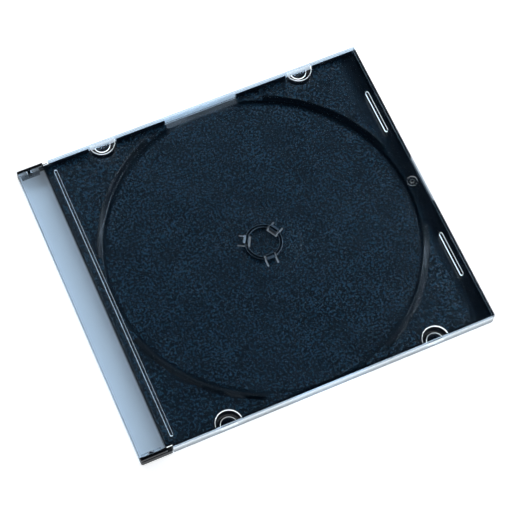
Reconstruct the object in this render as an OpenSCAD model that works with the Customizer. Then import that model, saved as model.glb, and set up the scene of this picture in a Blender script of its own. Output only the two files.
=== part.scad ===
// Slim disc case: a black moulded tray with a snap hub, and a clear lid that turns on
// two pins at the tray's ears. Origin at the centre of the closed case's underside,
// +X from the spine to the opening edge, +Z up. Millimetres.

/* [Case] */
// Length of the closed case, from the spine to the opening edge
case_l = 142; // [142:1:176]
// Width of the closed case
case_w = 125; // [125:1:156]
// Height of the closed case
case_h = 5.2; // [5.2:0.1:7]
// Radius of the lid's outer top edges
edge_r = 0.4; // [0.2:0.1:0.6]
// Radius of the lid's corners at the opening edge, seen from above
corner_r = 1.2; // [0.6:0.1:2]

/* [Lid] */
// Thickness of the lid's top plate
plate_t = 1.1; // [0.9:0.1:1.4]
// Thickness of the skirts along the two long sides
skirt_t = 0.9; // [0.7:0.1:1.2]
// Height of the skirts' lower edge above the table
skirt_lift = 0.2; // [0.1:0.1:0.5]
// Thickness of the lip at the opening edge
lip_t = 0.9; // [0.7:0.1:1.2]
// Thickness of the spine wall
spine_t = 1.0; // [0.8:0.1:1.3]
// Gap between the skirts and the tray
side_gap = 0.2; // [0.1:0.05:0.4]
// Gap between the lid's plate or lip and what lies below it
lid_gap = 0.15; // [0.1:0.05:0.3]

/* [Tray] */
// Thickness of the tray's floor in the disc well
floor_t = 0.7; // [0.6:0.1:1]
// Height of the deck above the floor of the well
deck_rise = 1.3; // [1:0.1:1.5]
// Thickness of the deck
deck_t = 1.0; // [0.8:0.1:1.2]
// Thickness of the walls below the deck
wall_t = 1.0; // [0.8:0.1:1.4]
// Thickness of the rims that stand on the deck
rim_t = 0.8; // [0.6:0.1:1]
// Radius of the rims' top edges
rim_round = 0.25; // [0.1:0.05:0.25]
// Height of the front flange above the deck
flange_rise = 1.0; // [0.6:0.1:1.2]
// Width of the thumb notch in the front flange
thumb_w = 20; // [12:1:30]

/* [Disc well] */
// Diameter of the disc
disc_d = 120; // [80:1:120]
// Radial gap round the disc
disc_gap = 0.5; // [0.3:0.1:0.6]
// Distance from the opening edge to the disc's centre
disc_inset = 66.5; // [66:0.5:80]
// Radius of the well's top edge
well_round = 0.3; // [0.1:0.05:0.4]
// Height of the four guard ridges above the deck
ridge_h = 1.0; // [0.6:0.1:1.1]
// Height of the small step at a ridge's foot
ridge_step = 0.1; // [0.05:0.05:0.2]
// Width of a ridge's inner slope
ridge_slope = 1.4; // [1:0.1:2]
// Width of a ridge's crest
ridge_crest = 0.4; // [0.2:0.1:0.8]
// Width of a ridge's outer slope
ridge_back = 0.6; // [0.4:0.1:1]
// Radius of a ridge's two top edges
ridge_round = 0.3; // [0.1:0.05:0.4]
// Angle at which a ridge starts, from the case's length
ridge_from = 16.5; // [10:0.5:25]
// Angle that a ridge spans
ridge_span = 50; // [30:1:55]
// Width of the finger notches at the two long sides
notch_w = 30; // [20:1:36]
// Length of a finger notch's ramp
notch_ramp = 2.3; // [1.5:0.1:4]
// Drop of a finger notch's ramp at the tray's side
notch_drop = 0.4; // [0.2:0.1:0.5]

/* [Hub] */
// Diameter of the disc's centre hole
hole_d = 15; // [15:0.1:15.2]
// Radial gap between the hub ring and the hole
hole_gap = 0.2; // [0.1:0.05:0.3]
// Wall of the hub ring
hub_t = 1.3; // [1:0.1:1.6]
// Height of the hub ring above the floor
hub_h = 1.5; // [1.3:0.1:1.8]
// Radius of the hub ring's top edges
ring_round = 0.3; // [0.1:0.05:0.4]
// Height of the button inside the hub ring above the floor
button_h = 0.2; // [0.1:0.1:0.5]
// Diameter of the dimple in the button
dimple_d = 5.2; // [4:0.1:6]
// Depth of the dimple
dimple_depth = 0.35; // [0.2:0.05:0.4]
// Diameter of the raised seat round the hub, on which the disc lies
seat_d = 28.8; // [26:0.1:33]
// Height of the seat above the floor
seat_h = 0.1; // [0.1:0.05:0.3]
// Number of snap fingers
finger_n = 3; // [3:1:4]
// Angle of the first snap finger, from the case's length
finger_turn = 30; // [0:1:119]
// Width of a snap finger
finger_w = 3.4; // [2.8:0.1:4.1]
// Width of the U-shaped slot that frees a finger from the floor
finger_gap = 0.7; // [0.5:0.05:0.85]
// Distance from the hub's centre to a finger's root
finger_root = 9.6; // [9:0.1:11]
// Thickness of a finger's arm, which lies in the floor and flexes
arm_t = 0.6; // [0.5:0.1:0.7]
// Radial depth of the post at a finger's inner end
finger_t = 1.3; // [1:0.1:1.5]
// Height of a finger's post above the floor
finger_h = 2.2; // [2:0.1:2.6]
// Radial gap between a post and the hole
stem_gap = 0.6; // [0.4:0.1:0.8]
// Bevel along a post's inner top edge
post_bevel = 0.3; // [0.1:0.05:0.4]
// How far a finger's tooth reaches over the edge of the hole
tooth_reach = 0.15; // [0.05:0.05:0.3]
// Height of the tooth, from its underside to the finger's top
tooth_h = 0.8; // [0.6:0.05:0.9]

/* [Hinge] */
// Distance from the spine's face to the hinge axis
pivot_inset = 4.7; // [4.4:0.1:5.4]
// Diameter of the hinge pins
pin_d = 2.2; // [1.8:0.1:2.6]
// Radial gap between a pin and its hole
pin_gap = 0.06; // [0.04:0.01:0.09]
// Thickness of the tray's ears
ear_t = 1.2; // [1:0.1:1.5]
// Length of an ear's upper part
ear_l = 10.4; // [9:0.1:12]
// Length of an ear's foot, which joins it to the tray
foot_l = 12.3; // [11.8:0.1:14]
// Height of an ear's foot
foot_h = 3.0; // [2.4:0.1:3.4]
// Radius of an ear's outer top edge
ear_r = 0.3; // [0.2:0.1:0.5]
// Radius of an ear's two ends, seen from the side
ear_side_r = 0.9; // [0.5:0.1:1.2]
// Radius of an ear's outer end, seen from above
ear_plan_r = 0.8; // [0.4:0.1:1.1]
// Width of the web that joins an ear's foot to the tray
foot_root = 1.5; // [1:0.1:2]
// Step by which an ear's upper part is set in
ear_step = 0.15; // [0.1:0.05:0.3]
// Gap between an ear and the lid's cheek
ear_gap = 0.2; // [0.1:0.05:0.4]
// Thickness of the lid's cheeks
cheek_t = 1.1; // [0.9:0.1:1.4]
// Length of the lid's cheeks
cheek_l = 8.5; // [8:0.1:9]
// Gap round the spine wall's path when the lid turns
swing_gap = 0.15; // [0.1:0.05:0.3]

/* [Latch] */
// Distance from the opening edge to the latch bumps on the tray's sides
latch_inset = 42.5; // [38:0.5:46]
// Height of a bump above the tray's side, and depth of the dent for it in the lid's skirt
latch_h = 0.12; // [0.05:0.01:0.14]
// Radius of a bump's back
latch_r = 1.0; // [0.6:0.1:1.5]
// Length of a bump, which stands upright
latch_l = 1.6; // [1:0.1:2]
// Height of a bump's lower end above the table
latch_z = 1.4; // [1:0.1:1.6]

/* [Booklet holders] */
// Diameter of the half-moon tabs
tab_d = 6.4; // [5:0.1:8]
// Diameter of the half-round windows in the plate above the tabs
window_d = 10.0; // [9:0.1:12]
// Radius of the windows' upper and lower edges
window_round = 0.3; // [0.1:0.05:0.4]
// Thickness of a tab
tab_t = 0.8; // [0.6:0.1:1]
// Radius of a tab's upper and lower edges
tab_round = 0.25; // [0.1:0.05:0.3]
// Gap for the booklet between a tab and the lid's plate
tab_slot = 1.0; // [0.8:0.1:1.2]
// Distance from the spine's face to the rear pair of tabs
tab_rear = 34.6; // [28:0.1:40]
// Distance from the opening edge to the front pair of tabs
tab_front = 24.5; // [20:0.1:30]
// Gap round a window in the tray's cutout below it
cutout_gap = 0.8; // [0.5:0.1:1]
// Depth of the tray's shallow pocket below a tab
pocket_depth = 0.2; // [0.1:0.1:0.4]
// Depth of the booklet stops below the lid's plate
stop_h = 0.9; // [0.5:0.1:1]
// Width of the long stop near the spine
long_stop_w = 1.1; // [0.8:0.1:1.4]
// Length of the long stop
long_stop_l = 115.4; // [100:0.1:116]
// Distance from the spine's face to the long stop
long_stop_inset = 14; // [13.4:0.1:16]
// Width of the two short stops at the opening edge
short_stop_w = 1.2; // [0.8:0.1:1.4]
// Length of a short stop
short_stop_l = 18.8; // [12:0.1:24]
// Distance from the middle of the case to a short stop's middle
short_stop_y = 32.9; // [28:0.1:36]
// Distance from the opening edge to the short stops
short_stop_inset = 3.85; // [3.2:0.05:4.5]

/* [Marks] */
// Length of the bare recessed panels in two corners of the deck
panel_l = 14.3; // [10:0.1:16]
// Width of the recessed panels
panel_w = 9.4; // [6:0.1:10]
// Depth of the recessed panels
panel_depth = 0.2; // [0.1:0.05:0.3]
// Distance from the disc's centre to a panel's middle, along the case
panel_x = 53.4; // [52:0.1:56]
// Distance from the disc's centre to a panel's middle, across the case
panel_y = 48.9; // [48:0.1:52]
// Diameter of the gate mark on the lid
gate_d = 4.0; // [3:0.1:5]
// Depth of the gate mark
gate_depth = 0.15; // [0.1:0.05:0.3]
// Diameter of the raised dot in the gate mark
dot_d = 1.6; // [1:0.1:2]
// Height of the dot
dot_h = 0.1; // [0.05:0.05:0.15]
// Distance from the opening edge to the gate mark
gate_inset = 4.4; // [4:0.1:6]

/* [Hidden] */

// Sides of a full circle
$fn = 128;
// Overlap that joins two forms, and run-out of a cut
lap = 0.5;
// Segments of a small edge radius
edge_n = 5;
// Depth to which a small form of the lid reaches into the wall that carries it
root = 0.2;

spine_x = -case_l / 2;
front_x = case_l / 2;
half_w = case_w / 2;
plate_z = case_h - plate_t;
deck_z = floor_t + deck_rise;
flange_z = deck_z + flange_rise;
rim_z = plate_z - lid_gap;

// Hinge axis, and the circle that the spine wall sweeps
pivot_x = spine_x + pivot_inset;
pivot_z = case_h / 2;
swing_r = sqrt(pow(pivot_inset, 2) + pow(case_h / 2, 2));

// Tray plan: hinge edge, and the sides that the skirts pass
tray_x = pivot_x + swing_r + swing_gap;
skirt_y = half_w - skirt_t;
tray_y = skirt_y - side_gap;
lip_x = front_x - lip_t;
well_x = front_x - disc_inset;
well_r = disc_d / 2 + disc_gap;

// Hub ring, the seat under the disc, the post of each finger and the slot round it
ring_r = hole_d / 2 - hole_gap;
seat_z = floor_t + seat_h;
slot_w = finger_w + 2 * finger_gap;
stem_r = hole_d / 2 - stem_gap;
finger_in = stem_r - finger_t;

// Ears stand outside the cheeks, the pins end inside them, and the skirts start past the ears' feet
ear_y = half_w - ear_t;
cheek_y = ear_y - ear_gap;
skirt_x = spine_x + foot_l + 1.5 * side_gap;
pin_r = pin_d / 2;
pin_tip_y = cheek_y - cheek_t + pin_gap;

// Tabs
window_r = window_d / 2;
tab_xs = [spine_x + tab_rear, front_x - tab_front];
tab_z = plate_z - tab_slot - tab_t;

// Points of a rounded corner: centre, radius, first and last angle
function corner(x, y, r, from, to) =
    [for (i = [0:edge_n]) let (a = from + (to - from) * i / edge_n) [x + r * cos(a), y + r * sin(a)]];

// A box between two corners
module block(low, high) {
    translate(low) cube(high - low);
}

// A profile drawn in the X-Z plane, extruded across the case, centred on Y
module across(width) {
    translate([0, width / 2, 0]) rotate([90, 0, 0]) linear_extrude(width) children();
}

// A profile drawn in the Y-Z plane, extruded along the case from one X to another
module along(from, to) {
    translate([from, 0, 0]) rotate([90, 0, 90]) linear_extrude(to - from) children();
}

// A flat bar with round ends, lying along Y
module round_bar(width, length, height) {
    half = length / 2 - width / 2;
    translate([-width / 2, -half, 0]) cube([width, 2 * half, height]);
    for (side = [-1, 1]) translate([0, side * half, 0]) cylinder(d = width, h = height, $fn = 32);
}

// Repeats its children at both long sides, facing outward
module both_sides() {
    children();
    mirror([0, 1, 0]) children();
}

// Deck, floor of the well and the walls below them, open underneath in the corners
module tray_shell() {
    notch_half = notch_w / 2 + wall_t;
    difference() {
        block([tray_x, -tray_y, 0], [front_x, tray_y, deck_z]);
        difference() {
            block([tray_x + wall_t, -tray_y + wall_t, -lap],
                  [front_x - wall_t, tray_y - wall_t, deck_z - deck_t]);
            translate([well_x, 0, -2 * lap]) cylinder(r = well_r + wall_t, h = case_h);
            block([well_x - notch_half, -half_w, -2 * lap], [well_x + notch_half, half_w, case_h]);
        }
    }
}

// Section of a rim with its two top edges rounded, outward to the right
module rim_section() {
    round_z = rim_z - rim_round;
    polygon(concat(
        [[-rim_t, deck_z - lap], [0, deck_z - lap]],
        corner(-rim_round, round_z, rim_round, 0, 90),
        corner(rim_round - rim_t, round_z, rim_round, 90, 180)
    ));
}

// Rims at the long sides and the hinge edge, and the flange under the lid's lip
module tray_rims() {
    base_z = deck_z - lap;
    both_sides() along(tray_x, lip_x - lid_gap) translate([tray_y, 0]) rim_section();
    across(2 * (tray_y - lap)) translate([tray_x + rim_t, 0]) rim_section();
    difference() {
        block([lip_x, -tray_y, base_z], [front_x, tray_y, flange_z]);
        block([lip_x - lap, -thumb_w / 2, deck_z], [front_x + lap, thumb_w / 2, case_h]);
    }
}

// The four curved ridges that guard the disc's edge. Their feet start inside the well's edge,
// and the cut of the well trims them.
module disc_ridges() {
    rise = (ridge_h - ridge_step) / ridge_slope;
    turn_in = atan(rise);
    turn_out = atan(ridge_h / ridge_back);
    foot_r = well_r - lap;
    crest_r = well_r + ridge_slope;
    back_r = crest_r + ridge_crest;
    root_z = deck_z - deck_t / 2;
    round_z = deck_z + ridge_h - ridge_round;
    profile = concat(
        [[foot_r, root_z], [foot_r, deck_z + ridge_step - rise * lap]],
        corner(crest_r + ridge_round * tan(turn_in / 2), round_z, ridge_round, 90 + turn_in, 90),
        corner(back_r - ridge_round * tan(turn_out / 2), round_z, ridge_round, 90, 90 - turn_out),
        [[back_r + ridge_back, deck_z], [back_r + ridge_back, root_z]]
    );
    starts = [ridge_from, 180 - ridge_from - ridge_span, 180 + ridge_from, 360 - ridge_from - ridge_span];
    for (start = starts)
        translate([well_x, 0, 0]) rotate([0, 0, start]) rotate_extrude(angle = ridge_span) polygon(profile);
}

// The disc well with its rounded edge, as the form that is cut from the deck
module disc_well() {
    mouth_r = well_r + well_round;
    translate([well_x, 0, 0]) rotate_extrude() polygon(concat(
        [[0, floor_t], [well_r, floor_t]],
        corner(mouth_r, deck_z - well_round, well_round, 180, 90),
        [[mouth_r, case_h], [0, case_h]]
    ));
}

// Latch bump on the tray's side, or the dent for it in the lid's skirt
module latch_form(side_y, low, high) {
    translate([front_x - latch_inset, side_y + latch_h - latch_r, low])
        cylinder(r = latch_r, h = high - low, $fn = 64);
}

// Repeats its children at each snap finger, with +X pointing out from the hub's centre
module each_finger() {
    for (i = [0:finger_n - 1])
        translate([well_x, 0, 0]) rotate([0, 0, finger_turn + i * 360 / finger_n]) children();
}

// Post of a snap finger with the tooth that holds the disc, standing on the finger's arm
module finger_post() {
    top_z = floor_t + finger_h;
    tooth_z = top_z - tooth_h;
    tip_r = hole_d / 2 + tooth_reach;
    root_z = seat_z - arm_t / 2;
    across(finger_w) polygon([
        [finger_in, root_z], [stem_r, root_z], [stem_r, tooth_z],
        [tip_r, tooth_z + tooth_h / 4], [tip_r, tooth_z + tooth_h / 2], [stem_r - hole_gap, top_z],
        [finger_in + post_bevel, top_z], [finger_in, top_z - post_bevel]
    ]);
}

// Seat, hub ring and button with its dimple
module disc_hub() {
    round_z = floor_t + hub_h - ring_round;
    button_z = floor_t + button_h;
    translate([well_x, 0, 0]) difference() {
        union() {
            translate([0, 0, floor_t - lap]) cylinder(d = seat_d, h = lap + seat_h);
            rotate_extrude() polygon(concat(
                [[0, floor_t - lap], [ring_r, floor_t - lap]],
                corner(ring_r - ring_round, round_z, ring_round, 0, 90),
                corner(ring_r - hub_t + ring_round, round_z, ring_round, 90, 180),
                [[ring_r - hub_t, button_z], [0, button_z]]
            ));
        }
        translate([0, 0, button_z - dimple_depth]) cylinder(d = dimple_d, h = case_h);
    }
}

// What frees a finger: the U-shaped slot through the floor, the gap in the ring above its arm,
// and a shallow recess below the arm
module finger_slot() {
    arm_half = finger_w / 2;
    difference() {
        block([finger_in - finger_gap, -slot_w / 2, -lap], [finger_root, slot_w / 2, case_h]);
        block([finger_in, -arm_half, seat_z - arm_t], [finger_root + lap, arm_half, seat_z]);
    }
}

// Ear at the hinge end with its pin, and the foot that carries it
module hinge_ear() {
    foot_end = spine_x + foot_l;
    top_y = half_w - ear_step;
    block([spine_x, ear_y, 0], [foot_end, half_w, foot_h]);
    block([tray_x, tray_y - foot_root, 0], [foot_end, ear_y + lap, foot_h]);
    along(spine_x, spine_x + ear_l) polygon(concat(
        [[ear_y, lap], [top_y, lap]],
        corner(top_y - ear_r, case_h - ear_r, ear_r, 0, 90),
        [[ear_y, case_h]]
    ));
    translate([pivot_x, ear_y + lap, pivot_z]) rotate([90, 0, 0])
        cylinder(r = pin_r, h = lap + ear_y - pin_tip_y, $fn = 64);
}

// Rounds the ears' corners at the hinge end, seen from the side and from above
module ear_envelope() {
    intersection() {
        across(case_w + 2 * lap) polygon(concat(
            corner(spine_x + ear_side_r, case_h - ear_side_r, ear_side_r, 180, 90),
            [[front_x, case_h], [front_x, 0]],
            corner(spine_x + ear_side_r, ear_side_r, ear_side_r, 270, 180)
        ));
        translate([0, 0, -lap]) linear_extrude(case_h + 2 * lap) polygon(concat(
            corner(spine_x + ear_plan_r, half_w - ear_plan_r, ear_plan_r, 180, 90),
            [[front_x, half_w], [front_x, -half_w]],
            corner(spine_x + ear_plan_r, ear_plan_r - half_w, ear_plan_r, 270, 180)
        ));
    }
}

// Ramp for a fingertip at the disc's edge, open through the rim
module finger_notch() {
    in_y = well_r - notch_w / 4;
    ramp_y = tray_y - notch_ramp;
    end_z = floor_t - notch_drop;
    along(well_x - notch_w / 2, well_x + notch_w / 2) polygon([
        [in_y, floor_t], [ramp_y, floor_t], [tray_y, end_z], [half_w, end_z],
        [half_w, case_h], [in_y, case_h]
    ]);
}

// Bare recessed panel in a corner of the deck
module deck_panel() {
    translate([-panel_l / 2, -panel_w / 2, deck_z - panel_depth]) cube([panel_l, panel_w, case_h]);
}

// Black tray with its hub, ears and pins, moulded in one
module base_tray() {
    color([0.09, 0.13, 0.17]) {
        difference() {
            union() {
                difference() {
                    union() {
                        tray_shell();
                        tray_rims();
                        disc_ridges();
                    }
                    disc_well();
                    both_sides() finger_notch();
                    for (x = tab_xs) both_sides() translate([x, skirt_y, deck_z - pocket_depth])
                        cylinder(r = window_r + cutout_gap, h = case_h);
                    for (side = [-1, 1])
                        translate([well_x + side * panel_x, side * panel_y, 0]) deck_panel();
                }
                disc_hub();
                both_sides() latch_form(tray_y, latch_z, latch_z + latch_l);
            }
            each_finger() finger_slot();
        }
        each_finger() finger_post();
        intersection() {
            both_sides() hinge_ear();
            ear_envelope();
        }
    }
}

// Outer form of the lid with rounded top edges and front corners
module lid_envelope() {
    intersection() {
        along(spine_x, front_x) polygon(concat(
            [[-half_w, skirt_lift], [half_w, skirt_lift]],
            corner(half_w - edge_r, case_h - edge_r, edge_r, 0, 90),
            corner(edge_r - half_w, case_h - edge_r, edge_r, 90, 180)
        ));
        across(case_w) polygon(concat(
            corner(spine_x + edge_r, skirt_lift + edge_r, edge_r, 180, 270),
            [[front_x, skirt_lift]],
            corner(front_x - edge_r, case_h - edge_r, edge_r, 0, 90),
            corner(spine_x + edge_r, case_h - edge_r, edge_r, 90, 180)
        ));
        linear_extrude(case_h) polygon(concat(
            [[spine_x, half_w], [spine_x, -half_w]],
            corner(front_x - corner_r, corner_r - half_w, corner_r, 270, 360),
            corner(front_x - corner_r, half_w - corner_r, corner_r, 0, 90)
        ));
    }
}

// Plate, skirts, lip, spine wall and the cheeks that turn on the tray's pins
module lid_shell() {
    lip_z = flange_z + lid_gap;
    difference() {
        lid_envelope();
        block([spine_x + spine_t, -skirt_y, -lap], [lip_x, skirt_y, plate_z]);
        block([lip_x - lap, -skirt_y, -lap], [front_x + lap, skirt_y, lip_z]);
        both_sides() block([spine_x - lap, cheek_y, -lap], [skirt_x, half_w + lap, case_h + lap]);
        translate([front_x - gate_inset, 0, case_h - gate_depth]) cylinder(d = gate_d, h = case_h);
    }
    translate([front_x - gate_inset, 0, plate_z + plate_t / 2])
        cylinder(d = dot_d, h = plate_t / 2 - gate_depth + dot_h);
    both_sides() difference() {
        block([spine_x + spine_t - root, cheek_y - cheek_t, skirt_lift],
              [spine_x + cheek_l, cheek_y, plate_z + root]);
        translate([pivot_x, cheek_y + lap, pivot_z]) rotate([90, 0, 0])
            cylinder(r = pin_r + pin_gap, h = cheek_t + 2 * lap, $fn = 64);
    }
}

// Half of a turned form at a skirt's inner face, reaching a given depth into the skirt
module half_moon(x, depth, profile) {
    translate([x, skirt_y, 0]) intersection() {
        rotate_extrude() polygon(profile);
        block([-window_d, -window_d, -lap], [window_d, depth, 2 * case_h]);
    }
}

// The window above a tab, wider at its rounded edges, as the form that is cut from the plate
module tab_window(x) {
    mouth_r = window_r + window_round;
    half_moon(x, 0, concat(
        [[0, plate_z - lap], [mouth_r, plate_z - lap]],
        corner(mouth_r, plate_z + window_round, window_round, 270, 180),
        corner(mouth_r, case_h - window_round, window_round, 180, 90),
        [[mouth_r, case_h + lap], [0, case_h + lap]]
    ));
}

// Half-moon tab that holds the booklet, with rounded edges
module booklet_tab(x) {
    edge_x = tab_d / 2 - tab_round;
    half_moon(x, root, concat(
        [[0, tab_z]],
        corner(edge_x, tab_z + tab_round, tab_round, 270, 360),
        corner(edge_x, tab_z + tab_t - tab_round, tab_round, 0, 90),
        [[0, tab_z + tab_t]]
    ));
}

// Stops that keep the booklet clear of the hinge and the opening edge
module booklet_stops() {
    stop_z = plate_z - stop_h;
    height = stop_h + root;
    translate([spine_x + long_stop_inset, 0, stop_z]) round_bar(long_stop_w, long_stop_l, height);
    for (side = [-1, 1])
        translate([front_x - short_stop_inset, side * short_stop_y, stop_z])
            round_bar(short_stop_w, short_stop_l, height);
}

// Clear lid, moulded in one with its skirts, spine, cheeks, tabs and stops.
// Each tab lies under a half-round window in the plate, as the mould needs.
module lid() {
    color([0.75, 0.82, 0.88, 0.35]) {
        difference() {
            lid_shell();
            for (x = tab_xs) both_sides() tab_window(x);
            both_sides() latch_form(skirt_y, latch_z - side_gap, latch_z + latch_l + side_gap);
        }
        for (x = tab_xs) both_sides() booklet_tab(x);
        booklet_stops();
    }
}

base_tray();
lid();
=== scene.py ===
from math import cos, radians, sin
import bpy
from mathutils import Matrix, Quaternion, Vector


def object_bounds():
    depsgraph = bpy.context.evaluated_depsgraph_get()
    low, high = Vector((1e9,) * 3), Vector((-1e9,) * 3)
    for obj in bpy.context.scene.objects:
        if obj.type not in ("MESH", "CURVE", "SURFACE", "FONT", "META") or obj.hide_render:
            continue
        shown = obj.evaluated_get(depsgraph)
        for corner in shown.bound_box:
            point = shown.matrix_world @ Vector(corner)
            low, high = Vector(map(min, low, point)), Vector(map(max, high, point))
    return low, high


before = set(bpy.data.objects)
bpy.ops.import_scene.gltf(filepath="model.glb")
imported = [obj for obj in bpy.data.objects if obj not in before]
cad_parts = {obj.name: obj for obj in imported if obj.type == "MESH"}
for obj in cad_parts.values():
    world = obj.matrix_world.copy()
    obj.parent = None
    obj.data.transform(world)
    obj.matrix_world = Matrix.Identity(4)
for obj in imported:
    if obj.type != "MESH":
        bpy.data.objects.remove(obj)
cad_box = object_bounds()
scene = bpy.context.scene
scene.view_settings.view_transform = "Standard"


# Table top and soft daylight.
# The case lies on plain white paper. Three soft boxes light it: a low one at the right, one at the
# far side and a taller one like a window. The sky is white only in a band round the horizon.
def add_node(tree, kind, inputs=(), **settings):
    node = tree.nodes.new(kind)
    for setting, value in settings.items():
        setattr(node, setting, value)
    for socket, source in dict(inputs).items():
        if hasattr(source, "is_linked"):
            tree.links.new(source, node.inputs[socket])
        else:
            node.inputs[socket].default_value = source
    return node


def new_material(name):
    material = bpy.data.materials.new(name)
    material.use_nodes = True
    material.node_tree.nodes.clear()
    return material, material.node_tree


def finish_material(tree, shader):
    add_node(tree, "ShaderNodeOutputMaterial", {"Surface": shader.outputs[0]})


case_low, case_high = cad_box
case_middle = (case_low + case_high) / 2
daylight = (0.90, 0.95, 1.0)
box_distance = 1.6
# Name, turn and rise in degrees, width and height in metres, and watts.
soft_boxes = (
    ("right_box", -32, 9, 1.4, 0.35, 30),
    ("far_box", 98, 36, 1.4, 0.30, 12),
    ("window_box", 14, 42, 0.8, 0.85, 9),
)
for name, turn, rise, width, height, watts in soft_boxes:
    light = bpy.data.lights.new(name, "AREA")
    light.shape = "RECTANGLE"
    light.size, light.size_y = width, height
    light.energy = watts
    light.color = daylight
    box = bpy.data.objects.new(name, light)
    outwards = cos(radians(rise))
    box.location = box_distance * Vector((
        cos(radians(turn)) * outwards, sin(radians(turn)) * outwards, sin(radians(rise))))
    box.rotation_mode = "QUATERNION"
    box.rotation_quaternion = (case_middle - box.location).to_track_quat("-Z", "Y")
    scene.collection.objects.link(box)

sky = bpy.data.worlds.new("studio_sky")
sky.use_nodes = True
sky_tree = sky.node_tree
sky_tree.nodes.clear()
sky_direction = add_node(sky_tree, "ShaderNodeTexCoord")
sky_height = add_node(sky_tree, "ShaderNodeSeparateXYZ", {0: sky_direction.outputs["Generated"]})
sky_ramp = add_node(sky_tree, "ShaderNodeValToRGB", {"Fac": sky_height.outputs["Z"]})
# Height on the sky's dome, from 0 at the horizon to 1 overhead, and the colour there.
sky_levels = (
    (0.00, (1.0, 1.0, 1.0)),
    (0.15, (0.94, 0.97, 1.0)),
    (0.28, (0.05, 0.08, 0.12)),
    (0.78, (0.004, 0.012, 0.022)),
)
while len(sky_ramp.color_ramp.elements) < len(sky_levels):
    sky_ramp.color_ramp.elements.new(1.0)
for element, (height, colour) in zip(sky_ramp.color_ramp.elements, sky_levels):
    element.position = height
    element.color = (*colour, 1)
sky_light = add_node(sky_tree, "ShaderNodeBackground", {
    "Color": sky_ramp.outputs["Color"], "Strength": 1.0})
add_node(sky_tree, "ShaderNodeOutputWorld", {"Surface": sky_light.outputs[0]})
scene.world = sky

floor_size, floor_drop = 6, 0.00005
paper_tone = (0.66, 0.67, 0.68, 1)
# How far the paper is lifted towards white: seen straight, mirrored in gloss and through the lid.
seen_white, mirrored_white, white_through_lid = 0.75, 0.20, 0.11
bpy.ops.mesh.primitive_plane_add(size=floor_size, location=(0, 0, case_low.z - floor_drop))
floor = bpy.context.object
floor.name = "floor"
white_paper, tree = new_material("white_paper")
paper = add_node(tree, "ShaderNodeBsdfDiffuse", {"Color": paper_tone})
rays = add_node(tree, "ShaderNodeLightPath")
seen = add_node(tree, "ShaderNodeMath", {
    0: rays.outputs["Is Camera Ray"], 1: seen_white}, operation="MULTIPLY")
mirrored = add_node(tree, "ShaderNodeMath", {
    0: rays.outputs["Is Glossy Ray"], 1: mirrored_white, 2: seen.outputs[0]}, operation="MULTIPLY_ADD")
white = add_node(tree, "ShaderNodeMapRange", {
    "Value": rays.outputs["Is Transmission Ray"],
    "To Min": mirrored.outputs[0], "To Max": white_through_lid})
glow = add_node(tree, "ShaderNodeEmission", {"Color": (1, 1, 1, 1), "Strength": white.outputs[0]})
lit_paper = add_node(tree, "ShaderNodeAddShader", {0: paper.outputs[0], 1: glow.outputs[0]})
finish_material(tree, lit_paper)
floor.data.materials.append(white_paper)


# Tray.
# Black polystyrene, moulded in one with its hub, ridges, ears and pins. The mould is spark
# eroded where the disc and the booklet lie, so the flats are finely grained and the rest is glossy.
def calc(tree, operation, *values):
    return add_node(tree, "ShaderNodeMath", dict(enumerate(values)), operation=operation).outputs[0]


def product(tree, first, *others):
    for other in others:
        first = calc(tree, "MULTIPLY", first, other)
    return first


def ramp(tree, value, low, high, to_low=0.0, to_high=1.0, curve="LINEAR"):
    node = add_node(tree, "ShaderNodeMapRange", {
        "Value": value, "From Min": low, "From Max": high, "To Min": to_low, "To Max": to_high},
                    interpolation_type=curve)
    return node.outputs["Result"]


def blend_colours(tree, amount, first, second):
    return add_node(tree, "ShaderNodeMix", {0: amount, 6: first, 7: second}, data_type="RGBA").outputs[2]


def measure_piece(tree):
    coords = add_node(tree, "ShaderNodeTexCoord")
    spot = add_node(tree, "ShaderNodeSeparateXYZ", {0: coords.outputs["Object"]})
    facing = add_node(tree, "ShaderNodeSeparateXYZ", {0: coords.outputs["Normal"]})
    from_middle = calc(tree, "ABSOLUTE", spot.outputs["Y"])
    return coords.outputs["Object"], spot.outputs, facing.outputs["Z"], from_middle


hairline_turns, hairline_stretch, hairline_width = (25, 115, 160), (0.06, 1, 1), 0.05
patch_scale, patch_low, patch_high = 60, 0.45, 0.65
scuffs = bpy.data.node_groups.new("handling_scuffs", "ShaderNodeTree")
group_inputs = {"Place": "NodeSocketVector", "Size": "NodeSocketFloat", "Amount": "NodeSocketFloat"}
for socket_name, socket_kind in group_inputs.items():
    scuffs.interface.new_socket(name=socket_name, in_out="INPUT", socket_type=socket_kind)
scuffs.interface.new_socket(name="Mask", in_out="OUTPUT", socket_type="NodeSocketFloat")
given = scuffs.nodes.new("NodeGroupInput")
hairlines = 0.0
for turn in hairline_turns:
    laid = add_node(scuffs, "ShaderNodeMapping", {
        "Vector": given.outputs["Place"], "Rotation": (0, 0, radians(turn)), "Scale": hairline_stretch})
    cells = add_node(scuffs, "ShaderNodeTexVoronoi", {
        "Vector": laid.outputs[0], "Scale": given.outputs["Size"]})
    line = ramp(scuffs, cells.outputs["Distance"], 0.0, hairline_width, 1.0, 0.0)
    hairlines = calc(scuffs, "MAXIMUM", line, hairlines)
patches = add_node(scuffs, "ShaderNodeTexNoise", {
    "Vector": given.outputs["Place"], "Scale": patch_scale, "Detail": 2})
handled = ramp(scuffs, patches.outputs["Fac"], patch_low, patch_high)
scuff_mask = product(scuffs, hairlines, handled, given.outputs["Amount"])
add_node(scuffs, "NodeGroupOutput", {"Mask": scuff_mask})

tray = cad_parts["base_tray"]
# Heights of the tray's flats, and how exactly level they are.
well_floor, seat, button, deck, panel_floor = 0.0007, 0.0008, 0.0009, 0.0020, 0.0018
level_slack, least_up = 0.00004, 0.97
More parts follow.
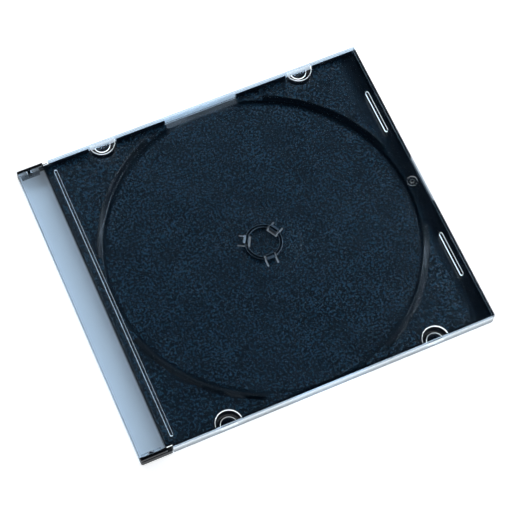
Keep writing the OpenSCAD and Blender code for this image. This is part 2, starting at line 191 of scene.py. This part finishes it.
# The hub's place and size, and the radii round it at which the seat and the disc's field end.
hub_x, hub_reach, hub_foot = 0.0045, 0.0080, 0.0012
seat_edge, disc_field, field_fade, rim_grain = 0.0144, 0.05925, 0.0003, 0.45
panel_side = case_high.y - 0.0080
front_start, front_end, front_grain = case_high.x - 0.0100, case_high.x - 0.0045, 0.05
grain_scale, grain_low, grain_high = 1200, 0.41, 0.62
cloud_scale, cloud_low, cloud_high, cloud_thin, cloud_thick = 90, 0.30, 0.70, 0.7, 1.2
step_width, step_height, grain_height = 0.0004, 0.00030, 0.00004
edge_start, edge_full, crown_start, crown_end = 0.10, 0.40, 0.90, 0.99
moulded_black = (0.0004, 0.0008, 0.0015, 1)
eroded_black = (0.008, 0.029, 0.045, 1)
# Lighter colour of the hub's rounded edges: partly rubbed wear, partly a painted highlight.
rubbed_and_highlight_black = (0.09, 0.105, 0.12, 1)
polished_roughness, eroded_roughness, tray_scuff_roughness = 0.17, 0.27, 0.25
tray_scuff_size, tray_scuff_amount = 900, 0.5
styrene_ior = 1.59

black_styrene, tree = new_material("black_styrene")
place, spot, up, from_middle = measure_piece(tree)
from_hub_x = calc(tree, "SUBTRACT", spot["X"], hub_x)
from_hub_squared = calc(tree, "MULTIPLY_ADD", from_hub_x, from_hub_x, product(tree, spot["Y"], spot["Y"]))
from_hub = calc(tree, "SQRT", from_hub_squared)
on_floor, on_seat, on_button, on_deck, on_panel = [
    calc(tree, "COMPARE", spot["Z"], height, level_slack)
    for height in (well_floor, seat, button, deck, panel_floor)]
in_field = product(tree, on_floor, ramp(
    tree, from_hub, disc_field, disc_field + field_fade, 1.0, rim_grain))
in_panel = product(tree, on_panel, calc(tree, "LESS_THAN", from_middle, panel_side))
flat = 0.0
for area in (in_field, in_panel, on_deck, on_seat, on_button):
    flat = calc(tree, "ADD", area, flat)
front_polish = ramp(tree, spot["X"], front_start, front_end, 1.0, front_grain)
eroded = product(tree, flat, calc(tree, "GREATER_THAN", up, least_up), front_polish)

fine = add_node(tree, "ShaderNodeTexNoise", {
    "Vector": place, "Scale": grain_scale, "Detail": 2, "Roughness": 0.55})
coarse = add_node(tree, "ShaderNodeTexNoise", {
    "Vector": place, "Scale": cloud_scale, "Detail": 3, "Roughness": 0.5})
speckle = ramp(tree, fine.outputs["Fac"], grain_low, grain_high)
cloud = ramp(tree, coarse.outputs["Fac"], cloud_low, cloud_high, cloud_thin, cloud_thick)
grain = product(tree, speckle, cloud, eroded)
tone = blend_colours(tree, grain, moulded_black, eroded_black)
# The hub's rounded edges above its foot are lightened: partly rubbed wear, partly a painted highlight.
rounded = product(tree, ramp(tree, up, edge_start, edge_full), ramp(tree, up, crown_end, crown_start))
near_hub = calc(tree, "LESS_THAN", from_hub, hub_reach)
above_foot = calc(tree, "GREATER_THAN", spot["Z"], hub_foot)
tone = blend_colours(tree, product(tree, rounded, near_hub, above_foot), tone, rubbed_and_highlight_black)

steps = 0.0
for on_level, edge in ((on_floor, disc_field), (on_seat, seat_edge)):
    fall = ramp(tree, from_hub, edge - step_width, edge, 1.0, 0.0, curve="SMOOTHSTEP")
    steps = calc(tree, "MULTIPLY_ADD", on_level, fall, steps)
relief = calc(tree, "MULTIPLY_ADD", steps, step_height, product(tree, grain, grain_height))
bump = add_node(tree, "ShaderNodeBump", {"Height": relief, "Strength": 1.0, "Distance": 1.0})
worn = add_node(tree, "ShaderNodeGroup", {
    "Place": place, "Size": tray_scuff_size, "Amount": tray_scuff_amount}, node_tree=scuffs)
gloss = ramp(tree, eroded, 0.0, 1.0, polished_roughness, eroded_roughness)
gloss = calc(tree, "MULTIPLY_ADD", worn.outputs["Mask"], tray_scuff_roughness, gloss)
black = add_node(tree, "ShaderNodeBsdfPrincipled", {
    "Base Color": tone, "Roughness": gloss, "IOR": styrene_ior, "Normal": bump.outputs[0]})
finish_material(tree, black)
tray.data.materials.clear()
tray.data.materials.append(black_styrene)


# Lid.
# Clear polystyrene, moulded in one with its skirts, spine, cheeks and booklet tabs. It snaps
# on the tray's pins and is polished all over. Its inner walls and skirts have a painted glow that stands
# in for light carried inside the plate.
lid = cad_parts["lid"]
skirt_line, skirt_face = case_high.y - 0.0013, case_high.y - 0.0003
skirt_foot, plate_top = 0.0010, case_high.z
cheek_line, lip_line = case_low.x + 0.0105, case_high.x - 0.0014
level_face, steep_face = 0.97, 0.60
# Strengths of the painted glow that stands in for light carried inside the plate: at the skirts' foot, at
# their top, and overall.
skirt_foot_light, skirt_top_light, painted_glow_strength = 0.02, 0.50, 1.25
unlit, painted_glow_colour = (0, 0, 0, 1), (0.90, 0.96, 1.0, 1)
clear_tint, shadow_tint = (0.78, 0.88, 0.97, 1), (0.79, 0.86, 0.92, 1)
clear_roughness, lid_scuff_roughness = 0.02, 0.10
lid_scuff_size, lid_scuff_amount = 500, 0.4
flow_scale, flow_strength, flow_depth = 70, 0.5, 0.00002

clear_styrene, tree = new_material("clear_styrene")
place, spot, up, from_middle = measure_piece(tree)
upright = ramp(tree, calc(tree, "ABSOLUTE", up), level_face, steep_face)
past_spine = calc(tree, "GREATER_THAN", spot["X"], cheek_line)
before_lip = calc(tree, "LESS_THAN", spot["X"], lip_line)
inner_wall = product(tree, calc(tree, "LESS_THAN", from_middle, skirt_line), past_spine, before_lip)
outside = calc(tree, "GREATER_THAN", from_middle, skirt_face)
skirt_wall = product(tree, outside, ramp(
    tree, spot["Z"], skirt_foot, plate_top, skirt_foot_light, skirt_top_light))
# The inner walls and the skirts get a painted glow through the lid's emission, brighter towards the
# skirts' top.
painted_glow_mask = product(tree, upright, calc(tree, "ADD", inner_wall, skirt_wall))
painted_wall_glow = blend_colours(tree, painted_glow_mask, unlit, painted_glow_colour)
worn = add_node(tree, "ShaderNodeGroup", {
    "Place": place, "Size": lid_scuff_size, "Amount": lid_scuff_amount}, node_tree=scuffs)
gloss = calc(tree, "MULTIPLY_ADD", worn.outputs["Mask"], lid_scuff_roughness, clear_roughness)
flow = add_node(tree, "ShaderNodeTexNoise", {"Vector": place, "Scale": flow_scale, "Detail": 1})
ripple = add_node(tree, "ShaderNodeBump", {
    "Height": flow.outputs["Fac"], "Strength": flow_strength, "Distance": flow_depth})
clear = add_node(tree, "ShaderNodeBsdfPrincipled", {
    "Base Color": clear_tint, "Roughness": gloss, "IOR": styrene_ior, "Transmission Weight": 1.0,
    "Normal": ripple.outputs[0], "Emission Color": painted_wall_glow, "Emission Strength": painted_glow_strength})
shadow = add_node(tree, "ShaderNodeBsdfTransparent", {"Color": shadow_tint})
rays = add_node(tree, "ShaderNodeLightPath")
clear_or_shadow = add_node(tree, "ShaderNodeMixShader", {
    0: rays.outputs["Is Shadow Ray"], 1: clear.outputs[0], 2: shadow.outputs[0]})
finish_material(tree, clear_or_shadow)
lid.data.materials.clear()
lid.data.materials.append(clear_styrene)


# Camera.
# It stands where the photograph was taken: high above the near left corner of the case, at
# arm's length, turned a little to the right about its own axis.
camera_azimuth, camera_elevation, camera_roll = radians(-27.466), radians(66.11), radians(4.053)
camera_distance = 0.6875
camera_aim = Vector((0.0, -0.0033, 0.0))
camera_back = Vector((
    sin(camera_azimuth) * cos(camera_elevation),
    -cos(camera_azimuth) * cos(camera_elevation),
    sin(camera_elevation),
))
camera_data = bpy.data.cameras.new("photo_camera")
camera_data.lens = 128.1
camera_data.sensor_width = 36
camera_data.clip_start = 0.01
camera = bpy.data.objects.new("photo_camera", camera_data)
camera.location = camera_aim + camera_back * camera_distance
camera.rotation_mode = "QUATERNION"
camera.rotation_quaternion = (-camera_back).to_track_quat("-Z", "Y") @ Quaternion((0, 0, 1), camera_roll)
scene.collection.objects.link(camera)
scene.camera = camera
